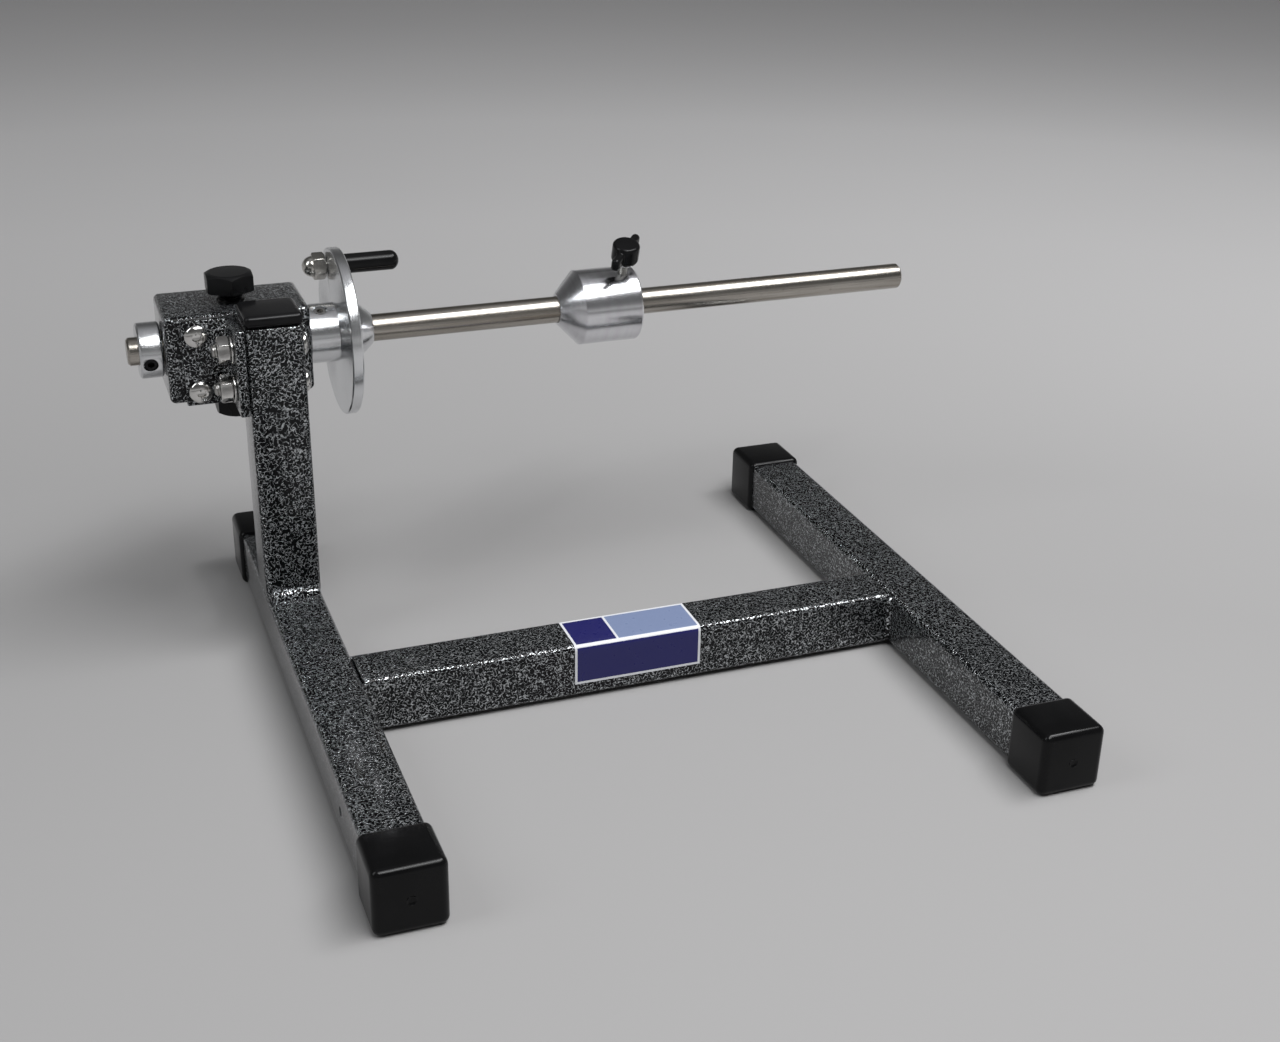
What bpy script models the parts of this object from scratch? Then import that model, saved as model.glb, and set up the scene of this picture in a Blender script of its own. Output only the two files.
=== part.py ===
"""Bench line-spool stand: a welded square-tube H base, a post with a brake
housing bolted behind its top, and a long spindle with a drive disk and a
sliding clamp cone.  Run with:  blender --background --python part.py

X runs along the spindle towards its free end, +Y goes to the back, +Z is up.
The floor is z = 0 and the origin is the bottom centre of the bounding box.
All driving dimensions are in millimetres and are turned into metres by MM.
"""
import bpy
import bmesh
import math
from mathutils import Matrix, Vector

MM = 0.001

# ---------------------------------------------------------------- frame
TUBE = 25.4            # outside width of the square steel tube
TUBE_WALL = 2.1
TUBE_R = 2.6           # outside corner radius
CAP_WALL = 1.75        # vinyl cap wall, under and around the rails
CAP_LEN = 28.0
CAP_R = 3.2
RAIL_LEN = 319.4
RAIL_GAP = 250.4       # clear length of the cross member
LEFT_X = -134.1        # axis of the left rail
RIGHT_X = LEFT_X + RAIL_GAP + TUBE
CROSS_Y = -12.7        # axis of the cross member
POST_Y = CROSS_Y + 88.6
TUBE_Z = CAP_WALL + TUBE / 2.0
RAIL_TOP = CAP_WALL + TUBE
POST_TOP = 156.3
GAP = 0.3              # clearance between pieces that touch

# ---------------------------------------------------------------- head
HOUSE = 40.2           # section of the brake housing, Y and Z
HOUSE_X0 = LEFT_X - 44.2
HOUSE_X1 = LEFT_X + 20.2
SHAFT_Y = POST_Y + TUBE / 2.0 + GAP + HOUSE / 2.0
SHAFT_Z = 136.7
SHAFT_R = 6.35
SHAFT_X0 = LEFT_X - 59.5
SHAFT_X1 = LEFT_X + 327.7
BORE_R = 9.0           # through bore that takes the bushings
BRAKE_X = (HOUSE_X0 + HOUSE_X1) / 2.0
BRAKE_R = 5.9          # tension bolt shank
HEAD_AF = 20.4         # tension bolt head across flats
HEAD_H = 8.4
HEAD_STAND = 4.7       # shank seen between head and housing
ANGLE_T = 4.3          # thickness of the angle bracket
ANGLE_LEG = 24.6

COLLAR_OD_L = 25.2
COLLAR_W_L = 10.3
HUB_OD = 27.4
DISK_R = 38.6
DISK_T = 5.2
DISK_X = LEFT_X + 34.5
PIN_DY = 15.4
PIN_DZ = 27.3
CONE_X0 = LEFT_X + 142.2
CONE_X1 = LEFT_X + 152.2
CONE_X2 = LEFT_X + 181.4
CONE_R = 18.0
WING_X = LEFT_X + 174.3
WING_ANG = math.radians(108.0)   # clamp screw axis, measured from +Y to +Z

NAME = "spool_holder_stand"


# ---------------------------------------------------------------- set-up
for old in list(bpy.data.objects):
    bpy.data.objects.remove(old, do_unlink=True)

scene = bpy.context.scene
parts = bpy.data.collections.new(NAME)
cutters = bpy.data.collections.new(NAME + "_cutters")
scene.collection.children.link(parts)
scene.collection.children.link(cutters)

MATS = {}


def material(key, color, rough, metal):
    """One Principled material per kind of surface, copied per object."""
    MATS[key] = (color, rough, metal)


material("hammertone", (0.055, 0.058, 0.06), 0.38, 0.35)
material("vinyl", (0.012, 0.012, 0.013), 0.42, 0.0)
material("gloss_plastic", (0.010, 0.010, 0.011), 0.25, 0.0)
material("nylon", (0.016, 0.016, 0.017), 0.55, 0.0)
material("aluminium", (0.78, 0.79, 0.80), 0.28, 1.0)
material("steel", (0.55, 0.53, 0.49), 0.25, 1.0)
material("stainless", (0.66, 0.65, 0.63), 0.22, 1.0)
material("black_oxide", (0.03, 0.03, 0.032), 0.4, 0.8)
material("bronze", (0.55, 0.36, 0.17), 0.4, 1.0)


def finish(obj, key, smooth=True):
    """Give the object its own Principled material and shading."""
    color, rough, metal = MATS[key]
    mat = bpy.data.materials.new(obj.name + "_" + key)
    mat.use_nodes = True
    bsdf = mat.node_tree.nodes["Principled BSDF"]
    bsdf.inputs["Base Color"].default_value = (*color, 1.0)
    bsdf.inputs["Roughness"].default_value = rough
    bsdf.inputs["Metallic"].default_value = metal
    obj.data.materials.clear()
    obj.data.materials.append(mat)
    if smooth:
        obj.data.shade_smooth()
        obj.data.set_sharp_from_angle(angle=math.radians(35))
    return obj


def move_to(obj, coll):
    for c in list(obj.users_collection):
        c.objects.unlink(obj)
    coll.objects.link(obj)
    if coll is cutters:
        obj.hide_render = True
        obj.display_type = "WIRE"
    return obj


def box(name, size, center, coll=parts, bevel=0.0, segs=3, edges=None):
    """Box of size (mm) at center (mm); edges limits the bevel to one axis."""
    bpy.ops.mesh.primitive_cube_add(size=1.0)
    obj = bpy.context.active_object
    obj.name = name
    for v in obj.data.vertices:
        v.co = Vector((v.co.x * size[0], v.co.y * size[1], v.co.z * size[2])) * MM
    obj.location = Vector(center) * MM
    if bevel > 0.0:
        if edges is not None:
            bm = bmesh.new()
            bm.from_mesh(obj.data)
            pick = []
            for e in bm.edges:
                d = e.verts[0].co - e.verts[1].co
                if abs(d[edges]) > 1e-6 and d.length - abs(d[edges]) < 1e-7:
                    pick.append(e)
            bmesh.ops.bevel(bm, geom=pick, offset=bevel * MM, segments=segs,
                            profile=0.5, affect="EDGES")
            bm.to_mesh(obj.data)
            bm.free()
        else:
            mod = obj.modifiers.new("round", "BEVEL")
            mod.width = bevel * MM
            mod.segments = segs
            mod.limit_method = "ANGLE"
            mod.angle_limit = math.radians(40)
    return move_to(obj, coll)


AXES = {
    "Z": Matrix.Identity(3),
    "-Z": Matrix.Rotation(math.pi, 3, "X"),
    "X": Matrix.Rotation(math.pi / 2, 3, "Y"),
    "-X": Matrix.Rotation(-math.pi / 2, 3, "Y"),
    "Y": Matrix.Rotation(-math.pi / 2, 3, "X"),
    "-Y": Matrix.Rotation(math.pi / 2, 3, "X"),
}


def place(obj, center, axis, spin=0.0):
    """Stand the local Z axis along axis (a key of AXES or a vector)."""
    if isinstance(axis, str):
        rot = AXES[axis].copy()
    else:
        rot = Vector(axis).to_track_quat("Z", "Y").to_matrix()
    rot = rot @ Matrix.Rotation(spin, 3, "Z")
    obj.matrix_world = Matrix.Translation(Vector(center) * MM) @ rot.to_4x4()
    return obj


def turned(name, profile, center, axis="Z", coll=parts, steps=40, spin=0.0):
    """Turned solid from a profile of (radius, height) in mm, top to bottom.

    A profile that starts and ends at radius 0 is solid; any other profile is
    closed into a ring.
    """
    mesh = bpy.data.meshes.new(name)
    verts = [(r * MM, 0.0, h * MM) for r, h in profile]
    n = len(verts)
    edges = [(i, i + 1) for i in range(n - 1)]
    if profile[0][0] > 0.0:
        edges.append((n - 1, 0))
    mesh.from_pydata(verts, edges, [])
    obj = bpy.data.objects.new(name, mesh)
    scene.collection.objects.link(obj)
    mod = obj.modifiers.new("turn", "SCREW")
    mod.axis = "Z"
    mod.angle = 2 * math.pi
    mod.steps = steps
    mod.render_steps = steps
    mod.use_merge_vertices = True
    mod.merge_threshold = 1e-6
    mod.use_smooth_shade = False
    bpy.context.view_layer.update()
    dg = bpy.context.evaluated_depsgraph_get()
    solid = bpy.data.meshes.new_from_object(obj.evaluated_get(dg))
    bm = bmesh.new()
    bm.from_mesh(solid)
    bmesh.ops.remove_doubles(bm, verts=bm.verts, dist=1e-6)
    bmesh.ops.dissolve_degenerate(bm, edges=bm.edges, dist=1e-7)
    bmesh.ops.recalc_face_normals(bm, faces=bm.faces)
    bm.to_mesh(solid)
    bm.free()
    obj.modifiers.clear()
    obj.data = solid
    bpy.data.meshes.remove(mesh)
    place(obj, center, axis, spin)
    return move_to(obj, coll)


def rod(name, r, h0, h1, center, axis="Z", coll=parts, steps=40, chamfer=0.0, c0=None, c1=None):
    """Plain cylinder between heights h0 and h1 along its axis."""
    a = chamfer if c0 is None else c0
    b = chamfer if c1 is None else c1
    prof = [(0.0, h1)]
    prof += [(r - b, h1), (r, h1 - b)] if b > 0 else [(r, h1)]
    prof += [(r, h0 + a), (r - a, h0)] if a > 0 else [(r, h0)]
    prof += [(0.0, h0)]
    return turned(name, prof, center, axis, coll, steps)


def hexagon(name, af, h0, h1, center, axis="Z", coll=parts, spin=0.0):
    """Hexagonal prism between heights h0 and h1."""
    bm = bmesh.new()
    r = af / math.sqrt(3.0) * MM
    bmesh.ops.create_cone(bm, cap_ends=True, segments=6, radius1=r, radius2=r,
                          depth=(h1 - h0) * MM,
                          matrix=Matrix.Translation((0, 0, (h0 + h1) / 2 * MM)))
    mesh = bpy.data.meshes.new(name)
    bm.to_mesh(mesh)
    bm.free()
    obj = bpy.data.objects.new(name, mesh)
    scene.collection.objects.link(obj)
    place(obj, center, axis, spin)
    return move_to(obj, coll)


def boolean(obj, tool, op="DIFFERENCE"):
    mod = obj.modifiers.new(op.lower(), "BOOLEAN")
    mod.operation = op
    mod.solver = "EXACT"
    mod.object = tool
    return obj


def bake(obj):
    """Apply the modifiers so the object can be cut or shaded further."""
    bpy.context.view_layer.update()
    dg = bpy.context.evaluated_depsgraph_get()
    mesh = bpy.data.meshes.new_from_object(obj.evaluated_get(dg))
    obj.modifiers.clear()
    old = obj.data
    obj.data = mesh
    bpy.data.meshes.remove(old)
    return obj


# ---------------------------------------------------------------- tube frame
def square_tube(name, length, center, axis, coll=parts):
    """Square tube with rounded corners, open at both ends."""
    size = [TUBE, TUBE, TUBE]
    size[axis] = length
    inner = [TUBE - 2 * TUBE_WALL] * 3
    inner[axis] = length + 10.0
    obj = box(name, size, center, coll, TUBE_R, 4, axis)
    hollow = box(name + "_hollow", inner, center, cutters,
                 TUBE_R - TUBE_WALL + 0.4, 2, axis)
    return boolean(obj, hollow)


left_rail = square_tube("left_rail", RAIL_LEN, (LEFT_X, 0, TUBE_Z), 1)
vent = rod("left_rail_vent", 2.2, -6, 6, (LEFT_X - TUBE / 2, CROSS_Y - 85.4, TUBE_Z),
           "X", cutters, 20)
boolean(left_rail, vent)
finish(bake(left_rail), "hammertone")

right_rail = square_tube("right_rail", RAIL_LEN, (RIGHT_X, 0, TUBE_Z), 1)
finish(bake(right_rail), "hammertone")

cross_member = square_tube("cross_member", RAIL_GAP - 2 * GAP,
                           ((LEFT_X + RIGHT_X) / 2, CROSS_Y, TUBE_Z), 0)
finish(bake(cross_member), "hammertone")

post_len = POST_TOP - RAIL_TOP - GAP
post = square_tube("post", post_len, (LEFT_X, POST_Y, POST_TOP - post_len / 2), 2)
BOLT_Z = (SHAFT_Z - 9.2, SHAFT_Z + 8.4)
BOLT_Y = POST_Y - 2.0
for i, z in enumerate(BOLT_Z):
    boolean(post, rod("post_bolt_hole_%d" % i, 3.5, -20, 20, (LEFT_X, BOLT_Y, z),
                      "X", cutters, 24))
finish(bake(post), "hammertone")


# slip-on vinyl caps: a rounded cup that closes the tube end
def foot_cap(name, x, sign):
    outer = TUBE + 2 * CAP_WALL
    y_out = sign * (RAIL_LEN / 2 + CAP_WALL)
    cap = box(name, (outer, CAP_LEN, outer), (x, y_out - sign * CAP_LEN / 2, TUBE_Z),
              parts, CAP_R, 4)
    pocket = box(name + "_pocket", (TUBE + 2 * 0.15, CAP_LEN, TUBE + 2 * 0.15),
                 (x, y_out - sign * (CAP_WALL - 0.15 + CAP_LEN / 2), TUBE_Z),
                 cutters, TUBE_R, 4, 1)
    boolean(cap, pocket)
    mod = cap.modifiers["round"]
    mod.limit_method = "ANGLE"
    dimple = rod(name + "_dimple", 2.1, -0.7, 2.0, (x, y_out, TUBE_Z),
                 "Y" if sign > 0 else "-Y", cutters, 16)
    boolean(cap, dimple)
    return finish(bake(cap), "vinyl")


foot_cap("foot_cap_front_left", LEFT_X, -1)
foot_cap("foot_cap_rear_left", LEFT_X, 1)
foot_cap("foot_cap_front_right", RIGHT_X, -1)
foot_cap("foot_cap_rear_right", RIGHT_X, 1)

# post plug: flat head over the tube and a hollow ribbed skirt inside it
plug = box("post_plug", (TUBE + 0.4, TUBE + 0.4, 5.8), (LEFT_X, POST_Y, POST_TOP + GAP + 2.9),
           parts, 2.2, 4)
skirt_w = TUBE - 2 * TUBE_WALL - 0.5
skirt = box("post_plug_skirt", (skirt_w, skirt_w, 7.0),
            (LEFT_X, POST_Y, POST_TOP + GAP + 1.6 - 3.5), cutters, 1.2, 2, 2)
skirt_in = box("post_plug_skirt_hollow", (skirt_w - 3.0, skirt_w - 3.0, 20.0),
               (LEFT_X, POST_Y, POST_TOP + GAP - 9.6), cutters)
boolean(plug, skirt, "UNION")
boolean(plug, skirt_in)
finish(bake(plug), "gloss_plastic")


# ---------------------------------------------------------------- brake housing
HOUSE_C = ((HOUSE_X0 + HOUSE_X1) / 2, SHAFT_Y, SHAFT_Z)
housing = box("brake_housing", (HOUSE_X1 - HOUSE_X0, HOUSE, HOUSE), HOUSE_C, parts, 2.6, 3)
boolean(housing, rod("housing_bore", BORE_R, -60, 60, HOUSE_C, "X", cutters, 40))
boolean(housing, rod("housing_brake_bore", BRAKE_R + 0.35, -40, 40,
                     (BRAKE_X, SHAFT_Y, SHAFT_Z), "Z", cutters, 32))
HOUSE_FRONT = SHAFT_Y - HOUSE / 2
SCREW_X = LEFT_X - 31.3
SCREW_Z = (SHAFT_Z + 12.6, SHAFT_Z - 13.2)
for k, sz in enumerate(SCREW_Z):
    boolean(housing, rod("housing_tap_%d" % k, 2.65, -8.0, 8.0,
                         (SCREW_X, HOUSE_FRONT, sz), "-Y", cutters, 20))
finish(bake(housing), "hammertone")

for side, x0, x1 in (("left", HOUSE_X0 + 0.6, HOUSE_X0 + 16.6),
                     ("right", HOUSE_X1 - 16.6, HOUSE_X1 - 0.6)):
    length = x1 - x0
    finish(turned("bushing_" + side,
                  [(BORE_R - 0.3, length), (BORE_R - 0.3, 0.0),
                   (SHAFT_R + 0.07, 0.0), (SHAFT_R + 0.07, length)],
                  (x0, SHAFT_Y, SHAFT_Z), "X"), "bronze")


# ---------------------------------------------------------------- angle bracket
def angle_bracket(name, sign, flange_len):
    """Angle iron: flange screwed to the housing front, leg bolted to the post's side."""
    face = LEFT_X + sign * (TUBE / 2 + GAP)
    leg = box(name, (ANGLE_T, TUBE + 0.2, HOUSE - 1.0),
              (face + sign * ANGLE_T / 2, HOUSE_FRONT - GAP - (TUBE + 0.2) / 2, SHAFT_Z),
              parts, 1.0, 2)
    flange = box(name + "_flange", (flange_len, ANGLE_T, HOUSE - 1.0),
                 (face + sign * flange_len / 2, HOUSE_FRONT - GAP - ANGLE_T / 2, SHAFT_Z),
                 cutters, 1.0, 2)
    fr = min(3.8, flange_len - ANGLE_T - 0.8)     # inside corner radius
    fc = ANGLE_T + fr / 2 - 0.2
    fillet = box(name + "_fillet", (fr + 0.4, fr + 0.4, HOUSE - 3.0),
                 (face + sign * fc, HOUSE_FRONT - GAP - fc, SHAFT_Z), cutters)
    scoop = rod(name + "_scoop", fr, -30, 30,
                (face + sign * (ANGLE_T + fr), HOUSE_FRONT - GAP - ANGLE_T - fr, SHAFT_Z),
                "Z", cutters, 24)
    boolean(fillet, scoop)
    bake(fillet)
    boolean(leg, flange, "UNION")
    boolean(leg, fillet, "UNION")
    for i, z in enumerate(BOLT_Z):
        boolean(leg, rod("%s_leg_hole_%d" % (name, i), 3.5, -20, 20, (face, BOLT_Y, z),
                         "X", cutters, 24))
    for i, z in enumerate(SCREW_Z):
        boolean(leg, rod("%s_hole_%d" % (name, i), 2.8, -12, 12,
                         (SCREW_X, HOUSE_FRONT, z), "Y", cutters, 24))
    return finish(bake(leg), "hammertone")


angle_bracket("angle_bracket", -1, ANGLE_LEG)


# ---------------------------------------------------------------- fasteners
def button_screw(name, x, z):
    """Button-head socket screw, head towards -Y."""
    seat = HOUSE_FRONT - GAP - ANGLE_T - 0.15
    r, h = 5.2, 3.0
    prof = [(0.0, h)]
    for j in range(1, 4):
        a = math.radians(90 - j * 22.5)
        prof.append((r * math.cos(a), 0.7 + (h - 0.7) * math.sin(a)))
    prof += [(r, 0.7), (r, 0.0), (2.4, 0.0), (2.4, -11.4), (1.9, -12.0), (0.0, -12.0)]
    obj = turned(name, prof, (x, seat, z), "-Y", parts, 20)
    boolean(obj, hexagon(name + "_socket", 3.4, h - 1.9, h + 2, (x, seat, z), "-Y", cutters))
    return finish(bake(obj), "stainless")


button_screw("housing_screw_upper", SCREW_X, SCREW_Z[0])
button_screw("housing_screw_lower", SCREW_X, SCREW_Z[1])

LEG_OUT = TUBE / 2 + GAP + ANGLE_T     # outer face of the bracket's leg from the post axis
for label, z in (("lower", BOLT_Z[0]), ("upper", BOLT_Z[1])):
    c = (LEFT_X, BOLT_Y, z)
    # washer and nut on the bracket, button head on the right face of the post
    finish(turned("post_washer_" + label,
                  [(6.4, LEG_OUT + 1.3), (6.4, LEG_OUT + 0.2), (3.3, LEG_OUT + 0.2),
                   (3.3, LEG_OUT + 1.3)], c, "-X", parts, 28), "stainless")
    nut = hexagon("post_nut_" + label, 11.1, LEG_OUT + 1.5, LEG_OUT + 6.9, c, "-X", parts,
                  math.radians(8))
    n0, n1 = LEG_OUT + 1.5, LEG_OUT + 6.9
    lens = turned("post_nut_%s_lens" % label,
                  [(0.0, n1), (5.6, n1), (7.0, n1 - 0.9), (7.0, n0 + 0.9), (5.6, n0), (0.0, n0)],
                  c, "-X", cutters, 28)
    boolean(nut, lens, "INTERSECT")
    boolean(nut, rod("post_nut_%s_hole" % label, 3.3, 0, 40, c, "-X", cutters, 24))
    finish(bake(nut), "stainless")
    tip = LEG_OUT + 9.0
    seat = TUBE / 2 + 0.2
    r, h = 5.2, 3.1
    prof = [(0.0, seat + h)]
    for j in range(1, 4):
        a = math.radians(90 - j * 22.5)
        prof.append((r * math.cos(a), seat + 0.7 + (h - 0.7) * math.sin(a)))
    prof += [(r, seat + 0.7), (r, seat), (3.0, seat), (3.0, 0.6 - tip), (2.4, -tip), (0.0, -tip)]
    bolt = turned("post_bolt_" + label, prof, c, "X", parts, 20)
    boolean(bolt, hexagon("post_bolt_%s_socket" % label, 4.0, seat + h - 2.0, seat + h + 2,
                          c, "X", cutters))
    finish(bake(bolt), "stainless")


# ---------------------------------------------------------------- brake
def tension_bolt(name, axis, sign):
    """Nylon hex bolt; local Z points out of the housing."""
    pivot = bpy.data.objects.new(name + "_axis", None)
    scene.collection.objects.link(pivot)
    place(pivot, (BRAKE_X, SHAFT_Y, SHAFT_Z), axis)
    move_to(pivot, parts)
    c = (BRAKE_X, SHAFT_Y, SHAFT_Z)
    h0 = HOUSE / 2 + HEAD_STAND
    h1 = h0 + HEAD_H
    bolt = hexagon(name, HEAD_AF, h0, h1, c, axis, parts, math.radians(29.0))
    r = HEAD_AF / math.sqrt(3.0)
    lens = turned(name + "_lens",
                  [(0.0, h1), (HEAD_AF / 2 - 0.6, h1), (r + 0.1, h1 - 1.5),
                   (r + 0.1, h0), (0.0, h0)], c, axis, cutters, 40)
    shank = rod(name + "_shank", BRAKE_R, SHAFT_R + 6.4, h0 + 2.0, c, axis, cutters, 32,
                c0=0.8, c1=0.0)
    boolean(bolt, lens, "INTERSECT")
    boolean(bolt, shank, "UNION")
    finish(bake(bolt), "nylon")
    bpy.context.view_layer.update()
    world = bolt.matrix_world.copy()
    bolt.parent = pivot
    bolt.matrix_world = world
    # friction shoe between the bolt and the shaft
    shoe = rod(name.replace("tension_bolt", "brake_shoe"), BRAKE_R - 0.1, SHAFT_R - 2.4,
               SHAFT_R + 6.1, c, axis, parts, 28, c0=0.0, c1=0.5)
    saddle = rod(name + "_saddle", SHAFT_R + 0.12, -20, 20, c, "X", cutters, 48)
    boolean(shoe, saddle)
    finish(bake(shoe), "bronze")


tension_bolt("upper_tension_bolt", "Z", 1)
tension_bolt("lower_tension_bolt", "-Z", -1)

# ---------------------------------------------------------------- spindle group
spin_axis = bpy.data.objects.new("spindle_axis", None)
scene.collection.objects.link(spin_axis)
place(spin_axis, (LEFT_X, SHAFT_Y, SHAFT_Z), "X")
move_to(spin_axis, parts)


def on_spindle(obj):
    bpy.context.view_layer.update()
    world = obj.matrix_world.copy()
    obj.parent = spin_axis
    obj.matrix_world = world
    return obj


AX = (0.0, SHAFT_Y, SHAFT_Z)     # any point of the shaft axis
FIT = 0.12                       # radial clearance of pieces fixed on the shaft
on_spindle(finish(rod("spindle", SHAFT_R, SHAFT_X0, SHAFT_X1, AX, "X", parts, 48, chamfer=1.0),
                  "steel"))


def radial(angle_deg):
    a = math.radians(angle_deg)
    return Vector((0.0, math.cos(a), math.sin(a)))


def set_screw(name, x, angle_deg, depth, r, key="black_oxide"):
    """Socket set screw sunk into a collar; head just under the surface."""
    u = radial(angle_deg)
    obj = rod(name, r, SHAFT_R + 0.25, depth, (x, SHAFT_Y, SHAFT_Z), u, parts, 20, chamfer=0.35)
    boolean(obj, hexagon(name + "_hex", 2.9, depth - 2.2, depth + 1.0,
                         (x, SHAFT_Y, SHAFT_Z), u, cutters))
    return on_spindle(finish(bake(obj), key))


def collar(name, x0, x1, od, screw_x, screw_ang, screw_r):
    r = od / 2
    w = x1 - x0
    obj = turned(name, [(SHAFT_R + FIT, w), (r - 0.8, w), (r, w - 0.8), (r, 0.8), (r - 0.8, 0.0),
                        (SHAFT_R + FIT, 0.0)], (x0, SHAFT_Y, SHAFT_Z), "X", parts, 36)
    boolean(obj, rod(name + "_tap", screw_r + 0.25, 0.0, 40.0, (screw_x, SHAFT_Y, SHAFT_Z),
                     radial(screw_ang), cutters, 24))
    return on_spindle(finish(bake(obj), "aluminium"))


LC0 = HOUSE_X0 - 0.4 - COLLAR_W_L
collar("left_collar", LC0, HOUSE_X0 - 0.4, COLLAR_OD_L, LC0 + 4.5, 195.0, 3.0)
set_screw("left_set_screw", LC0 + 4.5, 195.0, COLLAR_OD_L / 2 - 0.5, 3.0)
# drive disk: hub against the housing, flat disk and conical boss in one turning
hub0 = HOUSE_X1 + 0.4
hl = DISK_X - hub0
b0 = SHAFT_R + FIT
hr = HUB_OD / 2
disk = turned("drive_disk",
              [(b0, hl + DISK_T + 11.6), (7.2, hl + DISK_T + 11.6), (hr, hl + DISK_T + 4.2),
               (hr, hl + DISK_T), (DISK_R - 0.6, hl + DISK_T), (DISK_R, hl + DISK_T - 0.6),
               (DISK_R, hl + 0.6), (DISK_R - 0.6, hl), (hr, hl), (hr, 0.6), (hr - 0.6, 0.0),
               (b0, 0.0)],
              (hub0, SHAFT_Y, SHAFT_Z), "X", parts, 60)
PIN_C = (0.0, SHAFT_Y + PIN_DY, SHAFT_Z + PIN_DZ)
boolean(disk, rod("disk_pin_hole", 3.2, DISK_X - 5, DISK_X + 15, PIN_C, "X", cutters, 24))
HUB_SCREW_X = LEFT_X + 27.1
boolean(disk, rod("disk_hub_tap", 2.95, 0.0, 40.0, (HUB_SCREW_X, SHAFT_Y, SHAFT_Z),
                  radial(111.0), cutters, 24))
boolean(disk, rod("disk_oil_hole", 0.8, 8.0, 30.0, (LEFT_X + 32.7, SHAFT_Y, SHAFT_Z),
                  radial(113.5), cutters, 12))
on_spindle(finish(bake(disk), "aluminium"))
set_screw("hub_set_screw", HUB_SCREW_X, 111.0, HUB_OD / 2 - 0.7, 2.7, "stainless")

# drive pin: stud, acorn nut and plastic sleeve
on_spindle(finish(rod("drive_pin_stud", 2.9, LEFT_X + 25.9, LEFT_X + 60.3, PIN_C, "X", parts,
                      24, chamfer=0.5), "stainless"))
nut_axis = (DISK_X - 0.3, PIN_C[1], PIN_C[2])
acorn = hexagon("drive_pin_acorn_nut", 11.1, 0.0, 6.0, nut_axis, "-X", parts, math.radians(15))
lens = turned("acorn_lens", [(0.0, 6.0), (5.6, 6.0), (7.0, 5.2), (7.0, 0.9), (5.6, 0.0), (0.0, 0.0)],
              nut_axis, "-X", cutters, 28)
boolean(acorn, lens, "INTERSECT")
dome_prof = [(0.0, 10.6)]
for j in range(1, 4):
    a = math.radians(90 - j * 22.5)
    dome_prof.append((4.8 * math.cos(a), 6.0 + 4.6 * math.sin(a)))
dome_prof += [(4.8, 6.0), (4.8, 4.4), (0.0, 4.4)]
boolean(acorn, turned("acorn_dome", dome_prof, nut_axis, "-X", cutters, 20), "UNION")
boolean(acorn, rod("acorn_bore", 3.2, -3.0, 8.7, nut_axis, "-X", cutters, 16))
on_spindle(finish(bake(acorn), "stainless"))

s0 = DISK_X + DISK_T + 0.3
s1 = LEFT_X + 69.1 - s0
sleeve_prof = []
for j in range(0, 5):
    a = math.radians(90 - j * 22.5)
    sleeve_prof.append((4.6 * math.cos(a) if j else 0.0, s1 - 3.9 + 3.9 * math.sin(a)))
sleeve_prof += [(4.6, 0.4), (4.2, 0.0), (3.2, 0.0), (3.2, 21.0), (0.0, 21.0)]
on_spindle(finish(turned("drive_pin_sleeve", sleeve_prof, (s0, PIN_C[1], PIN_C[2]), "X",
                         parts, 24), "gloss_plastic"))

# ---------------------------------------------------------------- clamp cone
cone_axis = bpy.data.objects.new("clamp_cone_axis", None)
scene.collection.objects.link(cone_axis)
place(cone_axis, (CONE_X0, SHAFT_Y, SHAFT_Z), "X")
move_to(cone_axis, parts)
cl = CONE_X2 - CONE_X0
cs = CONE_X1 - CONE_X0
cb = SHAFT_R + 0.09
cone = turned("clamp_cone", [(cb, cl), (CONE_R - 1.0, cl), (CONE_R, cl - 1.0), (CONE_R, cs),
                             (7.3, 0.0), (cb, 0.0)],
              (CONE_X0, SHAFT_Y, SHAFT_Z), "X", parts, 48)
U = Vector((0.0, math.cos(WING_ANG), math.sin(WING_ANG)))
WC = (WING_X, SHAFT_Y, SHAFT_Z)
boolean(cone, rod("clamp_cone_tap", 2.45, 0.0, 40.0, WC, U, cutters, 24))
finish(bake(cone), "aluminium")
bpy.context.view_layer.update()
cone.parent = cone_axis
cone.matrix_parent_inverse = cone_axis.matrix_world.inverted()
finish(rod("clamp_pad", 2.1, SHAFT_R + 0.2, SHAFT_R + 3.2, WC, U, parts, 20, chamfer=0.2), "bronze")

wing_axis = bpy.data.objects.new("wing_screw_axis", None)
scene.collection.objects.link(wing_axis)
place(wing_axis, WC, U)
move_to(wing_axis, parts)
stud = rod("wing_screw_stud", 2.1, SHAFT_R + 3.4, 29.6, WC, U, parts, 24, chamfer=0.4)
finish(stud, "steel")

# moulded wing knob: round hub with two rounded wings
HUB0, HUB1 = 24.6, 34.8
knob = rod("wing_knob", 6.6, HUB0, HUB1, WC, U, parts, 36, chamfer=1.1)
base = Vector((1.0, 0.0, 0.0))
tang = U.cross(base).normalized()
if tang.y < 0:
    tang = -tang
wang = math.radians(49.0)
wdir = base * math.cos(wang) + tang * math.sin(wang)
for i, sgn in enumerate((1, -1)):
    d = wdir * sgn
    ctr = Vector(WC) + U * 29.6 + d * 8.6
    wing = box("wing_knob_blade_%d" % i, (11.6, 4.2, 6.6), (0, 0, 0), cutters, 1.9, 3)
    bake(wing)
    side = U.cross(d).normalized()
    rot = Matrix((d, side, U)).transposed()
    wing.matrix_world = Matrix.Translation(ctr * MM) @ rot.to_4x4()
    boolean(knob, wing, "UNION")
boolean(knob, rod("wing_knob_bore", 2.4, 0.0, 29.9, WC, U, cutters, 24))
finish(bake(knob), "nylon")
bpy.context.view_layer.update()
for obj in (stud, knob):
    world = obj.matrix_world.copy()
    obj.parent = wing_axis
    obj.matrix_world = world
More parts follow.
